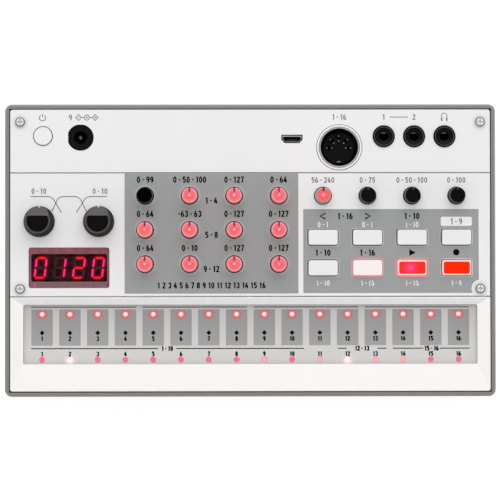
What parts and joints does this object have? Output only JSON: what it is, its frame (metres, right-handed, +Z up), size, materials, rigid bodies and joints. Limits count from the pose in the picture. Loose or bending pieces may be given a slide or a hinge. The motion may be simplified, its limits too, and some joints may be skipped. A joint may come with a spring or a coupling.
{
  "type": "audio sampler",
  "caption": "Table-top audio sampler with turning knobs, push buttons, plug sockets, a digit display and a touch strip of pads, run on dry cells.",
  "frame": {"origin": "on the table, under the middle of the case", "axes": "+X to the right, +Y to the rear with the sockets, +Z up"},
  "size_m": [0.193, 0.115, 0.039],
  "materials": {
    "case_grey": "fine grained warm grey",
    "foot_rubber": "soft matt black",
    "cell_can": "sleeved dry cell",
    "contact_metal": "sprung nickel plate",
    "board_green": "solder-masked board",
    "strip_film": "satin printed film",
    "step_lens": "lit clear lens",
    "part_lens": "lit clear lens",
    "panel_white": "satin white",
    "bezel_white": "soft gloss white",
    "screw_zinc": "bright zinc",
    "socket_black": "moulded black",
    "jack_black": "moulded black",
    "led_chip": "small clear chip",
    "module_black": "black face",
    "segment_red": "lit bars",
    "window_tint": "smoky tinted window",
    "plated_metal": "nickel plate",
    "isolator_black": "matt black",
    "knob_black": "matt black",
    "knob_clear_red": "clear knob lit from below",
    "button_white": "satin white",
    "button_red": "red inlay in a white cap"
  },
  "bodies": {
    "housing": {"bottom_case": "case_grey", "rubber_feet": "foot_rubber", "batteries": "cell_can", "battery_contacts": "contact_metal", "control_board": "board_green", "jack_board": "board_green", "touch_film": "strip_film", "touch_board": "board_green", "step_led_lenses": "step_lens", "part_led_lenses": "part_lens", "control_panel": "panel_white", "keyboard_bezel": "bezel_white", "panel_screws": "screw_zinc", "case_screws": "screw_zinc", "potentiometer_bodies": "socket_black", "encoder_body": "socket_black", "indicator_leds": "led_chip", "tact_switches": "socket_black", "display_module": "module_black", "display_segments": "segment_red", "display_window": "window_tint", "sync_in_jack": "jack_black", "sync_out_jack": "jack_black", "headphone_jack": "jack_black", "midi_shell": "plated_metal", "midi_insert": "socket_black", "dc_jack": "socket_black", "dc_centre_pin": "plated_metal", "usb_shell": "plated_metal", "usb_tongue": "socket_black"},
    "bass": {"bass_knob": "isolator_black", "bass_shaft": "plated_metal"},
    "treble": {"treble_knob": "isolator_black", "treble_shaft": "plated_metal"},
    "door": {"battery_door": "case_grey"},
    "sample": {"sample_knob": "knob_black"},
    "start": {"start_knob": "knob_clear_red"},
    "length": {"length_knob": "knob_clear_red"},
    "cutoff": {"cutoff_knob": "knob_clear_red"},
    "speed": {"speed_knob": "knob_clear_red"},
    "pitch_amount": {"pitch_amount_knob": "knob_clear_red"},
    "pitch_attack": {"pitch_attack_knob": "knob_clear_red"},
    "pitch_decay": {"pitch_decay_knob": "knob_clear_red"},
    "level": {"level_knob": "knob_clear_red"},
    "pan": {"pan_knob": "knob_clear_red"},
    "amp_attack": {"amp_attack_knob": "knob_clear_red"},
    "amp_decay": {"amp_decay_knob": "knob_clear_red"},
    "tempo": {"tempo_knob": "knob_clear_red"},
    "swing": {"swing_knob": "knob_black"},
    "reverb": {"reverb_knob": "knob_black"},
    "volume": {"volume_knob": "knob_black"},
    "part_back_key": {"part_back_button": "button_white"},
    "part_next_key": {"part_next_button": "button_white"},
    "mute_key": {"mute_button": "button_white"},
    "shift_key": {"shift_button": "button_white"},
    "memory_key": {"memory_button": "button_white"},
    "step_key": {"step_button": "button_white"},
    "play_key": {"play_button": "button_red"},
    "record_key": {"record_button": "button_red"},
    "power_key": {"power_button": "button_white"}
  },
  "joints": [
    {"name": "bass_turn", "type": "hinge", "parent": "housing", "child": "bass", "pos_m": [-0.08293, 0.01136, 0.0293], "axis": [0, 0, -1], "range_deg": [-150, 150]},
    {"name": "treble_turn", "type": "hinge", "parent": "housing", "child": "treble", "pos_m": [-0.05958, 0.01136, 0.0293], "axis": [0, 0, -1], "range_deg": [-150, 150]},
    {"name": "sample_turn", "type": "hinge", "parent": "housing", "child": "sample", "pos_m": [-0.04135, 0.02145, 0.0293], "axis": [0, 0, -1], "continuous": true},
    {"name": "start_turn", "type": "hinge", "parent": "housing", "child": "start", "pos_m": [-0.02385, 0.02145, 0.0293], "axis": [0, 0, -1], "range_deg": [-150, 150]},
    {"name": "length_turn", "type": "hinge", "parent": "housing", "child": "length", "pos_m": [-0.00635, 0.02145, 0.0293], "axis": [0, 0, -1], "range_deg": [-150, 150]},
    {"name": "cutoff_turn", "type": "hinge", "parent": "housing", "child": "cutoff", "pos_m": [0.01115, 0.02145, 0.0293], "axis": [0, 0, -1], "range_deg": [-150, 150]},
    {"name": "speed_turn", "type": "hinge", "parent": "housing", "child": "speed", "pos_m": [-0.04135, 0.008, 0.0293], "axis": [0, 0, -1], "range_deg": [-150, 150]},
    {"name": "pitch_amount_turn", "type": "hinge", "parent": "housing", "child": "pitch_amount", "pos_m": [-0.02385, 0.008, 0.0293], "axis": [0, 0, -1], "range_deg": [-150, 150]},
    {"name": "pitch_attack_turn", "type": "hinge", "parent": "housing", "child": "pitch_attack", "pos_m": [-0.00635, 0.008, 0.0293], "axis": [0, 0, -1], "range_deg": [-150, 150]},
    {"name": "pitch_decay_turn", "type": "hinge", "parent": "housing", "child": "pitch_decay", "pos_m": [0.01115, 0.008, 0.0293], "axis": [0, 0, -1], "range_deg": [-150, 150]},
    {"name": "level_turn", "type": "hinge", "parent": "housing", "child": "level", "pos_m": [-0.04135, -0.00545, 0.0293], "axis": [0, 0, -1], "range_deg": [-150, 150]},
    {"name": "pan_turn", "type": "hinge", "parent": "housing", "child": "pan", "pos_m": [-0.02385, -0.00545, 0.0293], "axis": [0, 0, -1], "range_deg": [-150, 150]},
    {"name": "amp_attack_turn", "type": "hinge", "parent": "housing", "child": "amp_attack", "pos_m": [-0.00635, -0.00545, 0.0293], "axis": [0, 0, -1], "range_deg": [-150, 150]},
    {"name": "amp_decay_turn", "type": "hinge", "parent": "housing", "child": "amp_decay", "pos_m": [0.01115, -0.00545, 0.0293], "axis": [0, 0, -1], "range_deg": [-150, 150]},
    {"name": "tempo_turn", "type": "hinge", "parent": "housing", "child": "tempo", "pos_m": [0.02856, 0.02145, 0.0293], "axis": [0, 0, -1], "range_deg": [-150, 150]},
    {"name": "swing_turn", "type": "hinge", "parent": "housing", "child": "swing", "pos_m": [0.04606, 0.02145, 0.0293], "axis": [0, 0, -1], "range_deg": [-150, 150]},
    {"name": "reverb_turn", "type": "hinge", "parent": "housing", "child": "reverb", "pos_m": [0.06356, 0.02145, 0.0293], "axis": [0, 0, -1], "range_deg": [-150, 150]},
    {"name": "volume_turn", "type": "hinge", "parent": "housing", "child": "volume", "pos_m": [0.08106, 0.02145, 0.0293], "axis": [0, 0, -1], "range_deg": [-150, 150]},
    {"name": "part_back_key_press", "type": "slide", "parent": "housing", "child": "part_back_key", "axis": [0, 0, -1], "range_m": [0, 0.0005], "stiffness_N_per_m": 2000},
    {"name": "part_next_key_press", "type": "slide", "parent": "housing", "child": "part_next_key", "axis": [0, 0, -1], "range_m": [0, 0.0005], "stiffness_N_per_m": 2000},
    {"name": "mute_key_press", "type": "slide", "parent": "housing", "child": "mute_key", "axis": [0, 0, -1], "range_m": [0, 0.0005], "stiffness_N_per_m": 2000},
    {"name": "shift_key_press", "type": "slide", "parent": "housing", "child": "shift_key", "axis": [0, 0, -1], "range_m": [0, 0.0005], "stiffness_N_per_m": 2000},
    {"name": "memory_key_press", "type": "slide", "parent": "housing", "child": "memory_key", "axis": [0, 0, -1], "range_m": [0, 0.0005], "stiffness_N_per_m": 2000},
    {"name": "step_key_press", "type": "slide", "parent": "housing", "child": "step_key", "axis": [0, 0, -1], "range_m": [0, 0.0005], "stiffness_N_per_m": 2000},
    {"name": "play_key_press", "type": "slide", "parent": "housing", "child": "play_key", "axis": [0, 0, -1], "range_m": [0, 0.0005], "stiffness_N_per_m": 2000},
    {"name": "record_key_press", "type": "slide", "parent": "housing", "child": "record_key", "axis": [0, 0, -1], "range_m": [0, 0.0005], "stiffness_N_per_m": 2000},
    {"name": "power_key_press", "type": "slide", "parent": "housing", "child": "power_key", "axis": [0, 0, -1], "range_m": [0, 0.0005], "stiffness_N_per_m": 2000},
    {"name": "door_swing", "type": "hinge", "parent": "housing", "child": "door", "pos_m": [0, 0.01529, 0.002], "axis": [1, 0, 0], "range_deg": [0, 90]}
  ]
}
